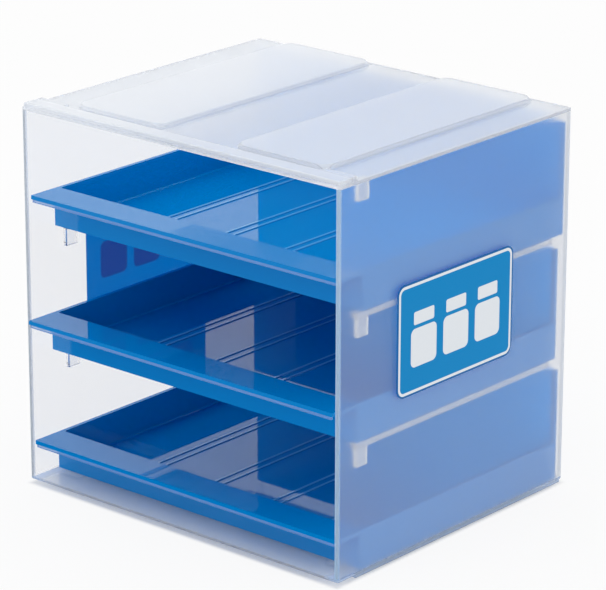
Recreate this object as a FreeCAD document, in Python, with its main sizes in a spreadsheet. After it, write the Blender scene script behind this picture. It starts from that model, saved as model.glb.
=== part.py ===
import FreeCAD, Part
import os
import Sketcher

# Paint storage rack: a clear plastic case with an open front, and three blue jar trays that slide
# out of it. Millimetres, +Z up. The front faces -Y, +X is the right-hand side seen from the front,
# and the origin is on the table under the middle of the case.

doc = FreeCAD.newDocument("paint_storage_rack")
sheet = doc.addObject("Spreadsheet::Sheet", "sizes")

# Two points or levels closer than this are the same, and so are two volumes.
NEAR = 0.001
NEAR_VOLUME = 1.0

SIZES = [
    ("case_width", 200.0, "outside, across the two side walls"),
    ("case_depth", 172.6, "outside, front to back"),
    ("case_height", 192.0, "from the underside of the base plate to the top of the cover plate"),
    ("side_wall", 2.2, "thickness of a side wall"),
    ("back_wall", 2.0, "thickness of the back panel"),
    ("plate", 1.6, "thickness of the base plate and of the cover plate"),
    ("corner_radius", 1.0, "upright outer corners of the case"),
    ("plate_edge_radius", 0.7, "lower outer edge of the base plate"),
    ("foot_height", 2.1, "stacking foot rails under the base plate"),
    ("foot_side_inset", 0.8, "foot rail to the outside of the case"),
    ("pad_height", 2.1, "raised stacking pads and front ridge on the cover"),
    ("pad_side_inset", 20.0, "outer side of a pad to the outside of the case"),
    ("pad_channel", 44.0, "channel between the two pads"),
    ("pad_front_inset", 14.0, "front end of the pads to the front of the case"),
    ("pad_back_inset", 0.6, "rear end of the pads to the back of the case"),
    ("pad_corner_radius", 8.0, "corners of a pad seen from above"),
    ("pad_slope", 1.4, "slope along the upper edges of the pads"),
    ("ridge_edge_radius", 0.8, "upper edges and corners of the ridge"),
    ("foot_edge_radius", 0.8, "lower edges of the foot rails"),
    ("stack_gap", 0.5, "clearance between a stacked rack's foot rails and the pads and ridge"),
    ("ridge_depth", 9.5, "front ridge, front to back, in the middle"),
    ("ridge_end_depth", 13.3, "front ridge, front to back, at its two ends"),
    ("ridge_edge_inset", 0.5, "front ridge to the outside of the case"),
    ("top_bay_drop", 1.4, "how much lower the top bay is than the other two"),
    ("runner_height", 3.0, "runner bars on the side walls"),
    ("runner_width", 4.0, "how far a runner stands out from its wall"),
    ("runner_back_gap", 9.6, "rear end of a runner to the back panel"),
    ("stop_length", 7.5, "stop block, front to back"),
    ("stop_thickness", 2.4, "how far a stop block stands out from its wall"),
    ("stop_catch", 5.3, "how far a stop block reaches below the top of a tray's back wall"),
    ("stop_catch_top", 3.7, "the same for the stop blocks under the cover"),
    ("stop_inset_left", 24.3, "front of the case to the stop blocks on the left wall"),
    ("stop_inset_right", 14.3, "front of the case to the stop blocks on the right wall"),
    ("tray_side_gap", 0.6, "clearance between a tray and each side wall"),
    ("tray_back_gap", 0.3, "clearance between a closed tray and the back panel"),
    ("tray_front_inset", 2.1, "lip of a closed tray to the front of the case"),
    ("tray_height", 19.1, "outside height of the tray's tub"),
    ("back_headroom", 6.7, "top of the tray's tall back wall to the floor of the bay above"),
    ("tray_floor", 2.0, "thickness of the tray's floor"),
    ("tray_side", 2.0, "thickness of the tray's side walls"),
    ("tray_front", 2.2, "thickness of the tray's front wall"),
    ("tray_back", 2.4, "thickness of the tray's back wall"),
    ("tray_corner_radius", 1.5, "upright inner corners of the tub"),
    ("tray_floor_radius", 1.0, "between the tub's floor and its walls"),
    ("lip_overhang", 16.0, "how far the lip stands out in front of the tub"),
    ("lip_thickness", 2.0, "thickness of the lip"),
    ("columns", 5.0, "columns of jars in a tray"),
    ("ridge_pair", 5.0, "between the middles of the two floor ridges of a pair"),
    ("floor_ridge_width", 1.2, "width of a floor ridge"),
    ("floor_ridge_height", 0.5, "height of a floor ridge"),
    ("strip_height", 1.6, "clear strip under the lip's front edge"),
    ("strip_thickness", 1.5, "clear strip, front to back"),
    ("strip_end_gap", 0.8, "end of the clear strip to the end of the lip"),
    ("strip_front_inset", 0.1, "front of the clear strip to the front of the lip"),
    ("out_upper", 0.0, "how far the upper tray stands out of its closed place at rest"),
    ("out_middle", 3.6, "the same for the middle tray"),
    ("out_lower", 1.0, "the same for the lower tray"),
    ("label_length", 87.0, "side label, front to back"),
    ("label_height", 55.5, "side label, bottom to top"),
    ("label_film", 0.25, "thickness of the label film"),
    ("label_middle_y", -1.5, "middle of the label, front to back"),
    ("label_middle_z", 108.4, "middle of the label above the table"),
    ("label_corner_radius", 5.0, "corners of the label"),
]

for row, (alias, value, note) in enumerate(SIZES, start=1):
    sheet.set(f"A{row}", alias)
    sheet.set(f"B{row}", str(value))
    sheet.set(f"C{row}", note)
    sheet.setAlias(f"B{row}", alias)
doc.recompute()


def number(expression):
    """The value of an expression over the sheet's cells."""
    return float(sheet.evalExpression(expression))


# Places that several pieces share.
HALF_WIDTH = "(sizes.case_width / 2)"
HALF_DEPTH = "(sizes.case_depth / 2)"
INNER_X = "(sizes.case_width / 2 - sizes.side_wall)"
INNER_BACK = "(sizes.case_depth / 2 - sizes.back_wall)"
BASE_TOP = "(sizes.foot_height + sizes.plate)"
COVER_UNDERSIDE = "(sizes.foot_height + sizes.case_height - sizes.plate)"
COVER_TOP = "(sizes.foot_height + sizes.case_height)"
TRAY_HALF = "(sizes.case_width / 2 - sizes.side_wall - sizes.tray_side_gap)"
TRAY_REAR = "(sizes.case_depth / 2 - sizes.back_wall - sizes.tray_back_gap)"
TUB_FRONT = "(-sizes.case_depth / 2 + sizes.tray_front_inset + sizes.lip_overhang)"
LIP_FRONT = "(-sizes.case_depth / 2 + sizes.tray_front_inset)"

# Three bays, the lowest on the base plate.
BAY_PITCH = "((sizes.case_height - 2 * sizes.plate + sizes.top_bay_drop) / 3)"
LOWER_FLOOR = BASE_TOP
MIDDLE_FLOOR = f"({BASE_TOP} + {BAY_PITCH})"
UPPER_FLOOR = f"({BASE_TOP} + 2 * {BAY_PITCH})"
TRAY_BACK_HEIGHT = f"({BAY_PITCH} - sizes.back_headroom)"


def new_body(label):
    body = doc.addObject("PartDesign::Body", label)
    body.Label = label
    return body


def origin_plane(body, role):
    return [feature for feature in body.Origin.OriginFeatures if feature.Role == role][0]


def sketch_on(body, role, name, offset):
    sketch = body.newObject("Sketcher::SketchObject", name)
    sketch.AttachmentSupport = [(origin_plane(body, role), "")]
    sketch.MapMode = "FlatFace"
    sketch.setExpression("AttachmentOffset.Base.z", offset)
    return sketch


def add_rectangle(sketch, tag, left, low, width, height):
    """A rectangle with its lower left corner and its two sides bound to the sheet."""
    x, y, w, h = (number(value) for value in (left, low, width, height))
    first = sketch.GeometryCount
    corners = [(x, y), (x + w, y), (x + w, y + h), (x, y + h)]
    for start, end in zip(corners, corners[1:] + corners[:1]):
        line = Part.LineSegment(FreeCAD.Vector(*start, 0), FreeCAD.Vector(*end, 0))
        sketch.addGeometry(line, False)
    for side in range(4):
        following = first + (side + 1) % 4
        sketch.addConstraint(Sketcher.Constraint("Coincident", first + side, 2, following, 1))
    for side, kind in enumerate(["Horizontal", "Vertical", "Horizontal", "Vertical"]):
        sketch.addConstraint(Sketcher.Constraint(kind, first + side))
    bound = [
        ("left", ("DistanceX", -1, 1, first, 1), x, left),
        ("low", ("DistanceY", -1, 1, first, 1), y, low),
        ("width", ("DistanceX", first, 1, first, 2), w, width),
        ("height", ("DistanceY", first + 1, 1, first + 1, 2), h, height),
    ]
    for name, geometry, value, expression in bound:
        index = sketch.addConstraint(Sketcher.Constraint(*geometry, value))
        sketch.renameConstraint(index, f"{tag}_{name}")
        sketch.setExpression(f"Constraints.{tag}_{name}", expression)


def pad(body, sketch, name, length):
    feature = body.newObject("PartDesign::Pad", name)
    feature.Profile = sketch
    feature.setExpression("Length", length)
    doc.recompute()
    return feature


def block(body, name, left, front, width, depth, low, height):
    """A box added to the body: a rectangle seen from above, padded upwards."""
    sketch = sketch_on(body, "XY_Plane", f"{name}_outline", low)
    add_rectangle(sketch, name, left, front, width, depth)
    return pad(body, sketch, name, height)


def edges_of(feature, test):
    """Names of the straight edges whose two end points pass the test."""
    names = []
    for index, edge in enumerate(feature.Shape.Edges, start=1):
        if isinstance(edge.Curve, Part.Line) and test(*[vertex.Point for vertex in edge.Vertexes]):
            names.append(f"Edge{index}")
    return names


def upright(a, b):
    return abs(a.x - b.x) < NEAR and abs(a.y - b.y) < NEAR


def level_at(height):
    """A test for edges that lie level at one height."""
    level = number(height)
    return lambda a, b: abs(a.z - level) < NEAR and abs(b.z - level) < NEAR


def fillet(body, base, name, radius, test):
    feature = body.newObject("PartDesign::Fillet", name)
    feature.Base = (base, edges_of(base, test))
    feature.setExpression("Radius", radius)
    doc.recompute()
    return feature


def chamfer(body, base, name, size, test):
    feature = body.newObject("PartDesign::Chamfer", name)
    feature.Base = (base, edges_of(base, test))
    feature.setExpression("Size", size)
    doc.recompute()
    return feature


# The base plate carries the lower tray. Two foot rails run front to back under its sides, and
# stand on the table, or beside the pads of a rack below it.
def make_base():
    body = new_body("base_panel")
    plate = block(body, "base_plate", f"-{HALF_WIDTH}", f"-{HALF_DEPTH}", "sizes.case_width",
                  "sizes.case_depth", "sizes.foot_height", "sizes.plate")
    corners = fillet(body, plate, "base_corners", "sizes.corner_radius", upright)
    underside = level_at("sizes.foot_height")
    fillet(body, corners, "base_lower_edge", "sizes.plate_edge_radius", underside)
    rail_width = "(sizes.pad_side_inset - sizes.foot_side_inset - sizes.stack_gap)"
    rail_front = "(-sizes.case_depth / 2 + sizes.ridge_end_depth + sizes.stack_gap)"
    rail_length = f"({HALF_DEPTH} - sizes.foot_side_inset - {rail_front})"
    left_rail = "(-sizes.case_width / 2 + sizes.foot_side_inset)"
    right_rail = f"({HALF_WIDTH} - sizes.foot_side_inset - {rail_width})"
    for side, left in (("left", left_rail), ("right", right_rail)):
        rail = block(body, f"foot_rail_{side}", left, rail_front, rail_width, rail_length, "0",
                     "sizes.foot_height")
    fillet(body, rail, "foot_edges", "sizes.foot_edge_radius", level_at("0"))
    return body


# The cover plate has two broad stacking pads, and a low ridge along its front edge that keeps a
# rack standing on it from sliding forward. The ridge is deeper at its ends, in front of the feet.
def make_cover():
    body = new_body("top_cover")
    plate = block(body, "cover_plate", f"-{HALF_WIDTH}", f"-{HALF_DEPTH}", "sizes.case_width",
                  "sizes.case_depth", COVER_UNDERSIDE, "sizes.plate")
    fillet(body, plate, "cover_corners", "sizes.corner_radius", upright)
    pad_width = "((sizes.case_width - sizes.pad_channel) / 2 - sizes.pad_side_inset)"
    pad_length = "(sizes.case_depth - sizes.pad_front_inset - sizes.pad_back_inset)"
    pad_front = "(-sizes.case_depth / 2 + sizes.pad_front_inset)"
    left_pad = "(-sizes.case_width / 2 + sizes.pad_side_inset)"
    right_pad = "(sizes.pad_channel / 2)"
    for side, left in (("left", left_pad), ("right", right_pad)):
        raised = block(body, f"pad_{side}", left, pad_front, pad_width, pad_length, COVER_TOP,
                       "sizes.pad_height")
    cover_top = number(COVER_TOP)
    pads_front = number(pad_front)

    def pad_corner(a, b):
        return upright(a, b) and max(a.z, b.z) > cover_top + NEAR and a.y > pads_front - NEAR

    rounded = fillet(body, raised, "pad_corners", "sizes.pad_corner_radius", pad_corner)
    raised_top = level_at(f"({COVER_TOP} + sizes.pad_height)")
    chamfer(body, rounded, "pad_slopes", "sizes.pad_slope", raised_top)
    ridge_left = "(-sizes.case_width / 2 + sizes.ridge_edge_inset)"
    ridge_front = "(-sizes.case_depth / 2 + sizes.ridge_edge_inset)"
    ridge = block(body, "front_ridge", ridge_left, ridge_front,
                  "(sizes.case_width - 2 * sizes.ridge_edge_inset)",
                  "(sizes.ridge_depth - sizes.ridge_edge_inset)", COVER_TOP, "sizes.pad_height")
    end_width = "(sizes.pad_side_inset - sizes.ridge_edge_inset - sizes.stack_gap)"
    for side, left in (("left", ridge_left),
                       ("right", f"({HALF_WIDTH} - sizes.ridge_edge_inset - {end_width})")):
        ridge = block(body, f"ridge_end_{side}", left, ridge_front, end_width,
                      "(sizes.ridge_end_depth - sizes.ridge_edge_inset)", COVER_TOP,
                      "sizes.pad_height")

    def ridge_corner(a, b):
        return upright(a, b) and max(a.z, b.z) > cover_top + NEAR and a.y < pads_front - NEAR

    eased = fillet(body, ridge, "ridge_corners", "sizes.ridge_edge_radius", ridge_corner)

    def ridge_edge(a, b):
        return raised_top(a, b) and a.y < pads_front - NEAR

    fillet(body, eased, "ridge_edges", "sizes.ridge_edge_radius", ridge_edge)
    return body


# A side wall is a flat plate that stands on the base plate under the cover plate.
def make_side_wall(label, side):
    body = new_body(label)
    left = f"-{HALF_WIDTH}" if side < 0 else INNER_X
    wall = block(body, f"{label}_plate", left, f"-{HALF_DEPTH}", "sizes.side_wall",
                 "sizes.case_depth", BASE_TOP, f"({COVER_UNDERSIDE} - {BASE_TOP})")
    outside = side * number(HALF_WIDTH)

    def outer_corner(a, b):
        return upright(a, b) and abs(a.x - outside) < NEAR

    fillet(body, wall, f"{label}_corners", "sizes.corner_radius", outer_corner)
    return body


# The back panel closes the case between the two side walls.
def make_back_panel():
    body = new_body("back_panel")
    block(body, "back_plate", f"-{INNER_X}", INNER_BACK, f"(2 * {INNER_X})", "sizes.back_wall",
          BASE_TOP, f"({COVER_UNDERSIDE} - {BASE_TOP})")
    return body


# A runner is a clear bar on a side wall, on which one edge of a tray slides. A stop block hangs
# below its front end and catches the tray's tall back wall, so the tray can't be pulled right out.
def stop_front(side):
    inset = "sizes.stop_inset_left" if side < 0 else "sizes.stop_inset_right"
    return f"(-{HALF_DEPTH} + {inset})"


def bar_left(side, width):
    return f"-{INNER_X}" if side < 0 else f"({INNER_X} - {width})"


def make_runner(label, side, top):
    body = new_body(label)
    width = "sizes.runner_width"
    length = f"({INNER_BACK} - sizes.runner_back_gap - {stop_front(side)})"
    block(body, f"{label}_bar", bar_left(side, width), stop_front(side), width, length,
          f"({top} - sizes.runner_height)", "sizes.runner_height")
    return body


def make_stop(label, side, low, height):
    body = new_body(label)
    width = "sizes.stop_thickness"
    block(body, f"{label}_block", bar_left(side, width), stop_front(side), width,
          "sizes.stop_length", low, height)
    return body


# A jar tray: a shallow tub with a flat lip along its front, a tall back wall and pairs of low
# ridges on its floor that part it into columns of jars. It is drawn closed, with its underside at
# height 0, and its placement lifts it into its bay and pulls it out a little.
def make_tray(label, bay_floor, out):
    body = new_body(label)
    width = f"(2 * {TRAY_HALF})"
    tub = block(body, f"{label}_tub", f"-{TRAY_HALF}", TUB_FRONT, width,
                f"({TRAY_REAR} - {TUB_FRONT})", "0", "sizes.tray_height")
    block(body, f"{label}_back", f"-{TRAY_HALF}", f"({TRAY_REAR} - sizes.tray_back)", width,
          "sizes.tray_back", "0", TRAY_BACK_HEIGHT)
    block(body, f"{label}_lip", f"-{TRAY_HALF}", LIP_FRONT, width,
          "(sizes.lip_overhang + sizes.tray_front)", "(sizes.tray_height - sizes.lip_thickness)",
          "sizes.lip_thickness")
    solid_volume = body.Tip.Shape.Volume

    inner_left = f"(-{TRAY_HALF} + sizes.tray_side)"
    inner_front = f"({TUB_FRONT} + sizes.tray_front)"
    inner_width = f"(2 * {TRAY_HALF} - 2 * sizes.tray_side)"
    inner_depth = f"({TRAY_REAR} - sizes.tray_back - {TUB_FRONT} - sizes.tray_front)"
    inner_height = "(sizes.tray_height - sizes.tray_floor)"
    sketch = sketch_on(body, "XY_Plane", f"{label}_cavity_outline", "sizes.tray_height")
    add_rectangle(sketch, f"{label}_cavity", inner_left, inner_front, inner_width, inner_depth)
    cavity = body.newObject("PartDesign::Pocket", f"{label}_cavity")
    cavity.Profile = sketch
    cavity.setExpression("Length", inner_height)
    doc.recompute()
    removed = solid_volume - cavity.Shape.Volume
    wanted = number(inner_width) * number(inner_depth) * number(inner_height)
    if abs(removed - wanted) > NEAR_VOLUME:
        raise RuntimeError(f"{label}: the tub's cavity removed {removed}, not {wanted}")

    x_limit = number(f"{TRAY_HALF}") - NEAR
    y_front = number(inner_front) - NEAR
    y_back = number(f"({TRAY_REAR} - sizes.tray_back)") + NEAR

    def inside(point):
        return abs(point.x) < x_limit and y_front < point.y < y_back

    def inner_upright(a, b):
        return upright(a, b) and inside(a)

    floor_level = level_at("sizes.tray_floor")

    def floor_edge(a, b):
        return floor_level(a, b) and inside(a) and inside(b)

    corners = fillet(body, cavity, f"{label}_inner_corners", "sizes.tray_corner_radius",
                     inner_upright)
    softened = fillet(body, corners, f"{label}_floor_edge", "sizes.tray_floor_radius", floor_edge)

    pitch = f"({inner_width} / sizes.columns)"
    half_pair = "((sizes.ridge_pair + sizes.floor_ridge_width) / 2)"
    ridges = sketch_on(body, "XY_Plane", f"{label}_ridge_outline", "sizes.tray_floor")
    first_pair = f"({inner_left} + {pitch})"
    for tag, left in (("near", f"({first_pair} - {half_pair})"),
                      ("far", f"({first_pair} + {half_pair} - sizes.floor_ridge_width)")):
        add_rectangle(ridges, f"{label}_{tag}", left, inner_front, "sizes.floor_ridge_width",
                      inner_depth)
    ridge = pad(body, ridges, f"{label}_ridges", "sizes.floor_ridge_height")
    pattern = body.newObject("PartDesign::LinearPattern", f"{label}_ridge_row")
    pattern.Originals = [ridge]
    pattern.Direction = (ridges, ["H_Axis"])
    pattern.setExpression("Length", f"({inner_width} - 2 * {pitch})")
    pattern.setExpression("Occurrences", "sizes.columns - 1")
    body.Tip = pattern
    body.setExpression("Placement.Base.y", f"-{out}")
    body.setExpression("Placement.Base.z", bay_floor)
    doc.recompute()
    if pattern.Shape.Volume < softened.Shape.Volume + NEAR_VOLUME:
        raise RuntimeError(f"{label}: the floor ridges are missing")
    return body


# A clear plastic strip is fixed under the front edge of each lip and moves with its tray.
def make_strip(label, bay_floor, out):
    body = new_body(label)
    low = f"({bay_floor} + sizes.tray_height - sizes.lip_thickness - sizes.strip_height)"
    block(body, f"{label}_bar", f"(-{TRAY_HALF} + sizes.strip_end_gap)",
          f"({LIP_FRONT} + sizes.strip_front_inset - {out})",
          f"(2 * {TRAY_HALF} - 2 * sizes.strip_end_gap)", "sizes.strip_thickness", low,
          "sizes.strip_height")
    return body


# The label on each side is a printed film stuck on the outside of the wall.
def make_label(label, side):
    body = new_body(label)
    left = f"-({HALF_WIDTH} + sizes.label_film)" if side < 0 else HALF_WIDTH
    film = block(body, f"{label}_film", left, "(sizes.label_middle_y - sizes.label_length / 2)",
                 "sizes.label_film", "sizes.label_length",
                 "(sizes.label_middle_z - sizes.label_height / 2)", "sizes.label_height")

    def film_corner(a, b):
        return abs(a.y - b.y) < NEAR and abs(a.z - b.z) < NEAR

    fillet(body, film, f"{label}_corners", "sizes.label_corner_radius", film_corner)
    return body


pieces = [make_base(), make_cover(), make_side_wall("left_wall", -1),
          make_side_wall("right_wall", 1), make_back_panel()]

BAYS = [
    ("upper", UPPER_FLOOR, "sizes.out_upper", "sizes.stop_catch_top", COVER_UNDERSIDE),
    ("middle", MIDDLE_FLOOR, "sizes.out_middle", "sizes.stop_catch",
     f"({UPPER_FLOOR} - sizes.runner_height)"),
    ("lower", LOWER_FLOOR, "sizes.out_lower", "sizes.stop_catch",
     f"({MIDDLE_FLOOR} - sizes.runner_height)"),
]
for side_name, side in (("left", -1), ("right", 1)):
    pieces.append(make_runner(f"upper_runner_{side_name}", side, UPPER_FLOOR))
    pieces.append(make_runner(f"middle_runner_{side_name}", side, MIDDLE_FLOOR))
    for bay, floor, _, catch, ceiling in BAYS:
        foot = f"({floor} + {TRAY_BACK_HEIGHT} - {catch})"
        pieces.append(make_stop(f"{bay}_stop_{side_name}", side, foot, f"({ceiling} - {foot})"))
    pieces.append(make_label(f"side_label_{side_name}", side))
for bay, floor, out, _, _ in BAYS:
    pieces.append(make_tray(f"{bay}_tray", floor, out))
    pieces.append(make_strip(f"{bay}_lip_strip", floor, out))

doc.recompute()
for item in doc.Objects:
    if "Invalid" in item.State or "Error" in item.State:
        raise RuntimeError(f"{item.Label} failed: {item.State}")
for piece in pieces:
    if piece.Shape.isNull() or not piece.Shape.isValid() or len(piece.Shape.Solids) != 1:
        raise RuntimeError(f"{piece.Label} isn't one valid solid")

os.makedirs("parts", exist_ok=True)
for piece in pieces:
    piece.Shape.exportStep(f"parts/{piece.Label}.step")
    box = piece.Shape.BoundBox
    print(f"{piece.Label}: {piece.Shape.Volume / 1000:.2f} cm3, x {box.XMin:.2f} {box.XMax:.2f}, "
          f"y {box.YMin:.2f} {box.YMax:.2f}, z {box.ZMin:.2f} {box.ZMax:.2f}")
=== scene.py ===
import math

import bpy
from mathutils import Matrix, Vector


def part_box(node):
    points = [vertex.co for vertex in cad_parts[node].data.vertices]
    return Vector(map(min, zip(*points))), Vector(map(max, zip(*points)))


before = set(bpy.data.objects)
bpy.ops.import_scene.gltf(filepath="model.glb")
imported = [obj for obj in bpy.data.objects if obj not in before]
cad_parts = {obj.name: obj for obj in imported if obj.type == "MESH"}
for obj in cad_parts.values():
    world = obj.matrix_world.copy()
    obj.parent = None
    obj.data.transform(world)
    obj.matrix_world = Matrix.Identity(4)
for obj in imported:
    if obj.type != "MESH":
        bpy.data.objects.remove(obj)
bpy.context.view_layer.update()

# Side walls and back panel: flat plates of clear styrene, moulded with a fine satin grain that hides
# what is far behind them and lets what is close behind them show. Their cut front and back edges look
# frosted. They stand between the base and the cover, and are welded to both.
MM = 0.001
WALL_EDGE = 0.25 * MM
EDGE_ROUNDING = 2
SHARP = math.radians(50.0)
SEAM = 0.001 * MM
GRAIN_SIZE = 0.6 * MM
GRAIN_RELIEF = 0.02 * MM
WALL_GRAIN = 0.05
CLOUD_SCALE = 25.0
CLOUD_SPREAD = 0.06
CLEAR_TINT = (0.99, 0.993, 1.0, 1.0)
FROST_WHITE = (0.88, 0.92, 0.98, 1.0)
FROST_EDGE = (0.74, 0.83, 0.95, 1.0)
# Painted light: the right wall's front edge scatters this blue, standing in for the trays' blue seen in
# it.
TRAY_BLUE_PAINTED_ON_EDGE = (0.42, 0.66, 0.95, 1.0)
CLEAR_IOR = 1.49
WALL_HAZE = 0.02
EDGE_HAZE = 0.55
BEHIND_HAZE = 0.4
WALL_ROUGHNESS = 0.22
RIGHT_ROUGHNESS = 0.33
RIGHT_GLOSS = 0.22
FULL_GLOSS = 0.5
CONTACT_GAP = 0.03 * MM
# A pair of places, in millimetres, says where a mask is 0 and where it is 1, here and further down.
WALL_CUT = (85.0, 85.5)
BEHIND_TRAYS = (82.0, 84.0)
RAYS = {"camera": 0, "shadow": 1, "diffuse": 2, "glossy": 3, "through": 6}


class Sock:
    """A shader socket or a plain number, with the arithmetic that the materials use."""

    def __init__(self, tree, source):
        self.tree = tree
        self.source = source

    def add(self, kind, settings=None, output=0, **inputs):
        node = self.tree.nodes.new(kind)
        for name, value in (settings or {}).items():
            setattr(node, name, value)
        for name, value in inputs.items():
            key = int(name[1:]) if name[0] == "i" and name[1:].isdigit() else name.replace("_", " ")
            self.put(value, node.inputs[key])
        return Sock(self.tree, node.outputs[output])

    def put(self, value, socket):
        value = value.source if isinstance(value, Sock) else value
        if isinstance(value, bpy.types.NodeSocket):
            self.tree.links.new(value, socket)
        else:
            socket.default_value = value

    def maths(self, operation, *values):
        numbered = {f"i{index}": value for index, value in enumerate(values)}
        return self.add("ShaderNodeMath", {"operation": operation}, **numbered)

    def __add__(self, other):
        return self.maths("ADD", self, other)

    def __sub__(self, other):
        return self.maths("SUBTRACT", self, other)

    def __rsub__(self, other):
        return self.maths("SUBTRACT", other, self)

    def __mul__(self, other):
        return self.maths("MULTIPLY", self, other)

    def __truediv__(self, other):
        return self.maths("DIVIDE", self, other)

    __radd__ = __add__
    __rmul__ = __mul__

    def absolute(self):
        return self.maths("ABSOLUTE", self)

    def least(self, other):
        return self.maths("MINIMUM", self, other)

    def most(self, other):
        return self.maths("MAXIMUM", self, other)

    def between(self, low, high):
        """0 at low and 1 at high, with a smooth step between them."""
        settings = {"interpolation_type": "SMOOTHSTEP"}
        return self.add("ShaderNodeMapRange", settings, Value=self, From_Min=low, From_Max=high)

    def mix(self, first, second):
        """A colour that goes from first to second as this value goes from 0 to 1."""
        settings = {"data_type": "RGBA"}
        return self.add("ShaderNodeMix", settings, output=2, i0=self, i6=first, i7=second)


def new_material(name):
    material = bpy.data.materials.new(name)
    material.use_nodes = True
    material.node_tree.nodes.clear()
    return material, Sock(material.node_tree, None)


def finish_material(material, sock, surface):
    output = material.node_tree.nodes.new("ShaderNodeOutputMaterial")
    sock.put(surface, output.inputs["Surface"])
    return material


def ray(sock, kind):
    """1 for light that is followed on a ray of this kind, such as through a clear piece, else 0."""
    return sock.add("ShaderNodeLightPath", output=RAYS[kind])


def place(sock):
    """The three coordinates in the object's own space, in millimetres."""
    coordinates = sock.add("ShaderNodeTexCoord", output=3)
    parts = {}
    for index, letter in enumerate("xyz"):
        parts[letter] = sock.add("ShaderNodeSeparateXYZ", output=index, Vector=coordinates) / MM
    return coordinates, parts


def clear_plastic(name, roughness, grain, haze_at, frost_at=lambda at: FROST_WHITE, gloss=FULL_GLOSS):
    """Clear styrene: lamps shine through it. haze_at gives the share that scatters light, and
    frost_at the colour that it scatters."""
    material, sock = new_material(name)
    coordinates, at = place(sock)
    noise = sock.add("ShaderNodeTexNoise", Vector=coordinates, Scale=1.0 / GRAIN_SIZE, Detail=2.0)
    bump = sock.add("ShaderNodeBump", Height=noise, Strength=grain, Distance=GRAIN_RELIEF)
    cloud = sock.add("ShaderNodeTexNoise", Vector=coordinates, Scale=CLOUD_SCALE, Detail=3.0)
    surface = {"Roughness": cloud * CLOUD_SPREAD + (roughness - CLOUD_SPREAD / 2.0), "Normal": bump,
               "IOR": CLEAR_IOR, "Specular IOR Level": gloss}
    clear = sock.add("ShaderNodeBsdfPrincipled", Base_Color=CLEAR_TINT, Transmission_Weight=1.0,
                     **surface)
    frost = sock.add("ShaderNodeBsdfPrincipled", Base_Color=frost_at(at), **surface)
    plastic = sock.add("ShaderNodeMixShader", i0=haze_at(at), i1=clear, i2=frost)
    passing = sock.add("ShaderNodeBsdfTransparent", Color=CLEAR_TINT)
    return finish_material(material, sock, sock.add(
        "ShaderNodeMixShader", i0=ray(sock, "shadow").most(ray(sock, "diffuse")), i1=plastic, i2=passing))


def dress(node, material, edge=0.0, contact=0.0):
    """Gives a node its finish, and rounds its sharp edges a little. contact draws its faces in by a
    hair, so that two clear pieces that touch each have a surface of their own."""
    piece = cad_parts[node]
    for slot in piece.material_slots:
        slot.material = material
    if edge:
        weld = piece.modifiers.new("weld", "WELD")
        weld.merge_threshold = SEAM
        if contact:
            hair = piece.modifiers.new("contact", "DISPLACE")
            hair.strength = -contact
            hair.mid_level = 0.0
        bevel = piece.modifiers.new("edge", "BEVEL")
        bevel.width = edge
        bevel.segments = EDGE_ROUNDING
        bevel.limit_method = "ANGLE"
        bevel.angle_limit = SHARP
        bevel.harden_normals = True
        bevel.use_clamp_overlap = True


def cut_edges(at):
    return at["y"].absolute().between(*WALL_CUT)


def wall_haze(at):
    return cut_edges(at) * (EDGE_HAZE - WALL_HAZE) + WALL_HAZE


def left_frost(at):
    return cut_edges(at).mix(FROST_WHITE, FROST_EDGE)


def right_haze(at):
    """The right wall looks milky behind the trays too, where it meets the back panel."""
    return wall_haze(at).most(at["y"].between(*BEHIND_TRAYS) * BEHIND_HAZE)


def right_frost_and_painted_blue(at):
    """White frost, but the right wall's front edge is painted in the trays' blue: painted light for the
    blue that the cut edge picks up from the trays.
    """
    painted_blue_edge = at["y"].between(-WALL_CUT[0], -WALL_CUT[1])
    return painted_blue_edge.mix(FROST_WHITE, TRAY_BLUE_PAINTED_ON_EDGE)


left_clear = clear_plastic("left_clear_styrene", WALL_ROUGHNESS, WALL_GRAIN, wall_haze, left_frost)
right_clear = clear_plastic("right_clear_styrene", RIGHT_ROUGHNESS, WALL_GRAIN, right_haze, right_frost_and_painted_blue,
                            RIGHT_GLOSS)
back_clear = clear_plastic("back_clear_styrene", WALL_ROUGHNESS, WALL_GRAIN, lambda at: WALL_HAZE)
dress("left_wall", left_clear, WALL_EDGE, CONTACT_GAP)
dress("right_wall", right_clear, WALL_EDGE, CONTACT_GAP)
dress("back_panel", back_clear, WALL_EDGE, CONTACT_GAP)

# Base panel and cover: the same clear styrene, welded over the walls. The foot rails under the base and
# the pads and ridge on the cover are moulded on, so that racks stack without sliding. They look milkier
# than the walls, because light passes them at a low angle and through more plastic.
PANEL_HAZE = 0.25
PAD_HAZE = 0.45
LEFT_HAZE = 0.22
RAIL_HAZE = 0.5
RAIL_FROST = (0.55, 0.70, 0.95, 1.0)
PANEL_ROUGHNESS = 0.235
PAD_MIDDLE = 51.0
PAD_SIDE = (28.2, 27.2)
PAD_FRONT = (-71.5, -70.5)
RIDGE_REAR = (-76.0, -78.0)
RAISED = (194.2, 194.4)
LEFT_PART = (20.0, -80.0)
OVER_RAILS = (90.0, 96.0)


def cover_haze(at):
    """More on the two pads and the ridge, and towards the left."""
    pad = (at["x"].absolute() - PAD_MIDDLE).absolute().between(*PAD_SIDE) * at["y"].between(*PAD_FRONT)
    raised = pad.most(at["y"].between(*RIDGE_REAR)) * at["z"].between(*RAISED)
    plain = at["x"].between(*LEFT_PART) * LEFT_HAZE + PANEL_HAZE
    return raised * (PAD_HAZE - PANEL_HAZE) + plain


def base_haze(at):
    """More over the foot rails, where the plastic is thicker."""
    return at["x"].absolute().between(*OVER_RAILS) * (RAIL_HAZE - PANEL_HAZE) + PANEL_HAZE


def base_frost(at):
    return at["x"].absolute().between(*OVER_RAILS).mix(FROST_WHITE, RAIL_FROST)


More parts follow.
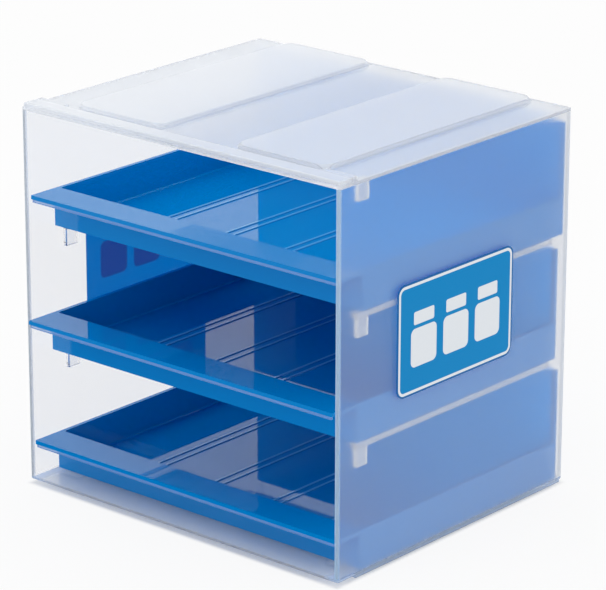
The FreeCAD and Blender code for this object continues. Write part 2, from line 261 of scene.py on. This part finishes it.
base_clear = clear_plastic("base_clear_styrene", PANEL_ROUGHNESS, WALL_GRAIN, base_haze, base_frost)
cover_clear = clear_plastic("cover_clear_styrene", PANEL_ROUGHNESS, WALL_GRAIN, cover_haze)
dress("base_panel", base_clear, WALL_EDGE, CONTACT_GAP)
dress("top_cover", cover_clear, WALL_EDGE, CONTACT_GAP)

# Runners and stop blocks: small clear bars with polished faces, welded inside the side walls. The
# runners carry the upper and middle trays, and the stop blocks catch the trays' tall back walls. Those
# on the right wall look milkier, because its grain scatters the light that they send through it.
BAR_EDGE = 0.2 * MM
BAR_ROUGHNESS = {"left": 0.06, "right": 0.12}
BAR_HAZE = {"left": 0.03, "right": 0.35}
NO_GRAIN = 0.0
for side in ("left", "right"):
    bar_clear = clear_plastic(f"{side}_bar_styrene", BAR_ROUGHNESS[side], NO_GRAIN,
                              lambda at: BAR_HAZE[side])
    for bay in ("upper", "middle"):
        dress(f"{bay}_runner_{side}", bar_clear, BAR_EDGE, CONTACT_GAP)
    for bay in ("upper", "middle", "lower"):
        dress(f"{bay}_stop_{side}", bar_clear, BAR_EDGE, CONTACT_GAP)

# Jar trays: moulded in one piece of blue styrene with a mirror gloss. Pairs of low ridges on the floor
# part the columns of jars, and are painted paler, a painted highlight for the light they catch. The gloss
# is a little uneven, as moulded floors are. Seen through a clear piece, the trays have a painted blue
# glow.
TRAY_EDGE = 0.3 * MM
TRAY_IOR = 1.5
TRAY_GLOSS = 0.015
SCUFF_GLOSS = 0.02
SCUFF_SCALE = 90.0
SCUFFED = (0.35, 0.8)
WAVE_SCALE = 14.0
WAVE_RELIEF = 0.05 * MM
WAVE_STRENGTH = 0.05
TRAY_BLUE = (0.0, 0.24, 0.66, 1.0)
TRAY_DEEP = (0.0, 0.225, 0.63, 1.0)
TRAY_SHEEN = (0.7, 0.93, 1.0, 1.0)
# Painted highlight: the floor ridges' colour, paler where their edges would catch the light.
RIDGE_HIGHLIGHT = (0.10, 0.42, 0.80, 1.0)
NO_LIGHT = (0.0, 0.0, 0.0, 1.0)
# Painted glow colours, for the trays' blue that the walls' grain scatters when seen through them.
GLOW_AT_TUB_SIDE = (0.02, 0.025, 0.08, 1.0)
GLOW_DEEP_IN_TUB = (0.0, 0.14, 0.38, 1.0)
TRAY_BOTTOMS = (3.7, 67.1, 130.5)
RIDGE_BOTTOM = (2.22, 2.26)
RIDGE_TOP = (2.69, 2.65)
RIDGE_SIDE = (85.0, 84.0)
RIDGE_FRONT = (-65.0, -64.0)
RIDGE_REAR_END = (77.0, 76.0)
TUB_SIDE = (95.6, 95.2)
TUB_DEPTH = (-60.0, 80.0)
UNDER_UPPER_TRAY = (150.0, 120.0)
FRONT_GLOW_SHARE = 0.15
UPPER_GLOW_SHARE = 0.5
FACING_REAR = (0.5, 0.9)


def floor_ridges(at):
    """1 on the ridges of all three trays' floors."""
    ridges = None
    for bottom in TRAY_BOTTOMS:
        low = at["z"].between(bottom + RIDGE_BOTTOM[0], bottom + RIDGE_BOTTOM[1])
        ridge = low * at["z"].between(bottom + RIDGE_TOP[0], bottom + RIDGE_TOP[1])
        ridges = ridge if ridges is None else ridges.most(ridge)
    ridges = ridges * at["x"].absolute().between(*RIDGE_SIDE) * at["y"].between(*RIDGE_FRONT)
    return ridges * at["y"].between(*RIDGE_REAR_END)


def painted_through_glow(sock, at):
    """A painted blue glow on the trays, seen only through a clear piece, for the light that the walls'
    grain
    scatters: more of it deep in the tub and in the two lower trays, and little on faces that look to the
    rear."""
    depth = at["y"].between(*TUB_DEPTH) * (1.0 - FRONT_GLOW_SHARE) + FRONT_GLOW_SHARE
    lower = at["z"].between(*UNDER_UPPER_TRAY) * (1.0 - UPPER_GLOW_SHARE) + UPPER_GLOW_SHARE
    facing = sock.add("ShaderNodeTexCoord", output=1)
    rearward = sock.add("ShaderNodeSeparateXYZ", output=1, Vector=facing).between(*FACING_REAR)
    inside = at["x"].absolute().between(*TUB_SIDE) * depth * lower * (1.0 - rearward)
    return ray(sock, "through").mix(NO_LIGHT, inside.mix(GLOW_AT_TUB_SIDE, GLOW_DEEP_IN_TUB))


tray_blue, sock = new_material("gloss_blue_styrene")
coordinates, at = place(sock)
wave = sock.add("ShaderNodeTexNoise", Vector=coordinates, Scale=WAVE_SCALE, Detail=2.0)
scuffs = sock.add("ShaderNodeTexNoise", Vector=coordinates, Scale=SCUFF_SCALE, Detail=4.0)
waves = sock.add("ShaderNodeBump", Height=wave, Strength=WAVE_STRENGTH, Distance=WAVE_RELIEF)
# The ridges get a painted highlight colour; the rest is the styrene's blue, uneven at random.
styrene = floor_ridges(at).mix(wave.mix(TRAY_DEEP, TRAY_BLUE), RIDGE_HIGHLIGHT)
finish_material(tray_blue, sock, sock.add(
    "ShaderNodeBsdfPrincipled", Base_Color=styrene, IOR=TRAY_IOR, Specular_Tint=TRAY_SHEEN,
    Roughness=scuffs.between(*SCUFFED) * SCUFF_GLOSS + TRAY_GLOSS, Normal=waves,
    # Painted glow: the trays emit blue, but only on rays that come through a clear piece.
    Emission_Color=painted_through_glow(sock, at), Emission_Strength=1.0))
for bay in ("upper", "middle", "lower"):
    dress(f"{bay}_tray", tray_blue, TRAY_EDGE)

# Lip strips: a thin clear bar under the front edge of each tray's lip, bonded to it. Its haze is painted
# blue, painted light for the blue of the lip above and behind it.
STRIP_ROUGHNESS = 0.1
STRIP_HAZE = 0.5
# Painted light: the strips' haze colour, for the lip's blue seen in them.
STRIP_PAINTED_LIP_BLUE = (0.18, 0.38, 0.78, 1.0)
strip_clear = clear_plastic("strip_styrene", STRIP_ROUGHNESS, NO_GRAIN, lambda at: STRIP_HAZE,
                            lambda at: STRIP_PAINTED_LIP_BLUE)
for bay in ("upper", "middle", "lower"):
    dress(f"{bay}_lip_strip", strip_clear, BAR_EDGE, CONTACT_GAP)

# Side labels: printed film with rounded corners, one on the outside of each side wall. A pale line runs
# inside its blue border, and the picture on it is three plain jars in a row. A thin rim at the film's
# edge is painted shade, for its shadow on the wall. Its back face, seen through the clear wall, has a
# painted glow for light shining through the print, darker where the jars are.
LABEL_BLUE = (0.0, 0.262, 0.617, 1.0)
# Painted shade: the colour of the thin rim at the film's edge, for its shadow on the wall.
LABEL_SHADOW_RIM = (0.012, 0.14, 0.40, 1.0)
LABEL_PALE = (0.86, 0.90, 0.94, 1.0)
# Painted glow on the back face, for light shining through the print.
BACK_GLOW_BLUE = (0.0, 0.14, 0.48, 1.0)
BACK_GLOW_JARS = (0.012, 0.045, 0.26, 1.0)
FILM_IOR = 1.5
LABEL_ROUGHNESS = 0.35
LABEL_GLOSS = 0.1
LABEL_CORNER = 5.0
SHADOW_RIM_WIDTH = (-0.9, -0.78)
LINE_INSET = 1.6
LINE_HALF = 0.7
LINE_SOFT = 0.06
JAR_MIDDLES = (-24.0, 0.0, 24.0)
JAR = {"up": -5.0, "half_width": 9.5, "half_height": 9.5, "radius": 3.0}
LID = {"up": 9.5, "half_width": 7.5, "half_height": 3.2, "radius": 1.0}
JAR_SOFT = 0.08
FILM_INNER_FACE = (100.15, 100.1)


def rounded(across, up, half_width, half_height, radius):
    """Distance outside a rectangle with rounded corners, less than 0 inside it."""
    out_y = across.absolute() - (half_width - radius)
    out_z = up.absolute() - (half_height - radius)
    outside_y = out_y.most(0.0)
    outside_z = out_z.most(0.0)
    corner = across.maths("SQRT", outside_y * outside_y + outside_z * outside_z)
    return corner + out_y.most(out_z).least(0.0) - radius


def label_film(name, low, high):
    """The print on the label between two corners: border with a painted shade rim, pale line, and three
    jars, and a painted glow on the back face.
    """
    material, sock = new_material(name)
    _, at = place(sock)
    middle = [(a + b) / 2.0 / MM for a, b in zip(low, high)]
    half = [(b - a) / 2.0 / MM for a, b in zip(low, high)]
    y = at["y"] - middle[1]
    z = at["z"] - middle[2]
    edge = rounded(y, z, half[1], half[2], LABEL_CORNER)
    line = (edge + LINE_INSET).absolute() - LINE_HALF
    line_mask = 1.0 - line.between(-LINE_SOFT, LINE_SOFT)
    jars = None
    for jar_middle in JAR_MIDDLES:
        for part in (JAR, LID):
            shape = rounded(y - jar_middle, z - part["up"], part["half_width"], part["half_height"],
                            part["radius"])
            jars = shape if jars is None else jars.least(shape)
    jar_mask = 1.0 - jars.between(-JAR_SOFT, JAR_SOFT)
    # The rim at the edge is painted shade.
    colour = edge.between(*SHADOW_RIM_WIDTH).mix(LABEL_BLUE, LABEL_SHADOW_RIM)
    colour = line_mask.most(jar_mask).mix(colour, LABEL_PALE)
    film = sock.add("ShaderNodeBsdfPrincipled", Base_Color=colour, Roughness=LABEL_ROUGHNESS,
                    IOR=FILM_IOR, Specular_IOR_Level=LABEL_GLOSS)
    # The back face glows: painted light shining through the print.
    back = sock.add("ShaderNodeEmission", Color=jar_mask.mix(BACK_GLOW_BLUE, BACK_GLOW_JARS), Strength=1.0)
    inner = at["x"].absolute().between(*FILM_INNER_FACE)
    return finish_material(material, sock, sock.add("ShaderNodeMixShader", i0=inner, i1=film, i2=back))


for side in ("left", "right"):
    node = f"side_label_{side}"
    dress(node, label_film(f"printed_film_{side}", *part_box(node)))

# The studio: a pale floor that runs out of view on every side, a white room, and two soft lamps. The
# floor looks white, also in the glossy faces that mirror it, except in front of the rack and partly far
# to
# its right: there the glossy faces mirror a painted shade, dimmest near the rack, so that the trays'
# upright faces don't mirror it too brightly. Under the rack it is plain paper.
FLOOR_SIZE = 12.0
PAPER = (0.93, 0.93, 0.93, 1.0)
WHITE = (1.0, 1.0, 1.0, 1.0)
WHITE_SHARE = 0.88
RACK_HALF = (100.0, 87.0)
RACK_OUTLINE = (-2.0, 2.0)
RACK_FRONT = (-86.0, -84.0)
FAR_RIGHT = (200.0, 500.0)
FAR_SHARE = 0.5
# The painted shade in the floor's mirror image: its brightness by distance in front of the rack.
DIM_PER_MM = -0.001
DIM_START = 0.12
DIMMEST = 0.01
BRIGHTEST = 0.9
floor_mesh = bpy.data.meshes.new("floor")
half_floor = FLOOR_SIZE / 2.0
floor_mesh.from_pydata([(-half_floor, -half_floor, 0), (half_floor, -half_floor, 0),
                        (half_floor, half_floor, 0), (-half_floor, half_floor, 0)], [], [(0, 1, 2, 3)])
floor = bpy.data.objects.new("floor", floor_mesh)
bpy.context.scene.collection.objects.link(floor)
floor_white, sock = new_material("floor_white")
_, at = place(sock)
outside = (at["x"].absolute() - RACK_HALF[0]).most(at["y"].absolute() - RACK_HALF[1])
looked_at = ray(sock, "camera").most(ray(sock, "through")).most(ray(sock, "glossy"))
shown = looked_at * outside.between(*RACK_OUTLINE) * WHITE_SHARE
mirrored = ray(sock, "glossy") * (1.0 - ray(sock, "through"))
mirror_shade_area = (1.0 - at["y"].between(*RACK_FRONT)).most(at["x"].between(*FAR_RIGHT) * FAR_SHARE)
mirrored_shade_level = (at["y"] * DIM_PER_MM - DIM_START).most(DIMMEST).least(BRIGHTEST)
paper = sock.add("ShaderNodeBsdfDiffuse", Color=PAPER)
glow = sock.add("ShaderNodeEmission", Color=WHITE, Strength=1.0)
# Painted shade, seen only in glossy faces: the floor's mirror image in front of the rack.
mirrored_shade = sock.add("ShaderNodeEmission", Color=mirrored_shade_level, Strength=1.0)
bright = sock.add("ShaderNodeMixShader", i0=shown, i1=paper, i2=glow)
finish_material(floor_white, sock, sock.add(
    "ShaderNodeMixShader", i0=mirrored * mirror_shade_area, i1=bright, i2=mirrored_shade))
floor_mesh.materials.append(floor_white)

ROOM_LIGHT = 0.88
world = bpy.data.worlds.new("white_room")
bpy.context.scene.world = world
world.use_nodes = True
world.node_tree.nodes.clear()
sock = Sock(world.node_tree, None)
looked_at = ray(sock, "camera").most(ray(sock, "through")).most(ray(sock, "glossy"))
room = sock.add("ShaderNodeBackground", Color=WHITE,
                Strength=looked_at * (1.0 - ROOM_LIGHT) + ROOM_LIGHT)
world_output = world.node_tree.nodes.new("ShaderNodeOutputWorld")
sock.put(room, world_output.inputs["Surface"])

LAMP_AIM = Vector((0.0, 0.0, 0.1))


def soft_lamp(name, position, size, power):
    """A square lamp that isn't seen in mirrors or through the clear plastic."""
    lamp = bpy.data.lights.new(name, "AREA")
    lamp.size = size
    lamp.energy = power
    placed = bpy.data.objects.new(name, lamp)
    placed.location = position
    placed.rotation_mode = "QUATERNION"
    placed.rotation_quaternion = (LAMP_AIM - Vector(position)).to_track_quat("-Z", "Y")
    placed.visible_glossy = False
    placed.visible_transmission = False
    bpy.context.scene.collection.objects.link(placed)


soft_lamp("key_lamp", position=(-0.6, -1.0, 1.6), size=1.2, power=2.0)
soft_lamp("top_lamp", position=(0.3, 0.4, 2.0), size=1.5, power=1.0)

# The camera stands to the front right and looks a little down, through a long lens. Its angles and
# distance come from the case's straight edges.
AZIMUTH = math.radians(40.063)
ELEVATION = math.radians(18.716)
ROLL = math.radians(0.314)
DISTANCE = 1.7102
TARGET = Vector((-0.00397, 0.03708, 0.09341))
IMAGE_WIDTH = 606
SENSOR_WIDTH = 36.0
NEAREST = 0.05
FURTHEST = 50.0
FOCAL_PIXELS = 3432.81
SHIFT_PIXELS = (-36.3, -9.88)
view = Vector((-math.sin(AZIMUTH) * math.cos(ELEVATION), math.cos(AZIMUTH) * math.cos(ELEVATION),
               -math.sin(ELEVATION)))
right = Vector((math.cos(AZIMUTH), math.sin(AZIMUTH), 0.0))
up = right.cross(view)
across = right * math.cos(ROLL) + up * math.sin(ROLL)
upward = up * math.cos(ROLL) - right * math.sin(ROLL)
camera_data = bpy.data.cameras.new("camera")
camera_data.sensor_width = SENSOR_WIDTH
camera_data.lens = FOCAL_PIXELS / IMAGE_WIDTH * SENSOR_WIDTH
camera_data.shift_x = SHIFT_PIXELS[0] / IMAGE_WIDTH
camera_data.shift_y = SHIFT_PIXELS[1] / IMAGE_WIDTH
camera_data.clip_start = NEAREST
camera_data.clip_end = FURTHEST
camera = bpy.data.objects.new("camera", camera_data)
camera.matrix_world = Matrix.Translation(TARGET - view * DISTANCE) @ Matrix(
    (across, upward, -view)).transposed().to_4x4()
bpy.context.scene.collection.objects.link(camera)
bpy.context.scene.camera = camera
bpy.context.scene.view_settings.view_transform = "Standard"
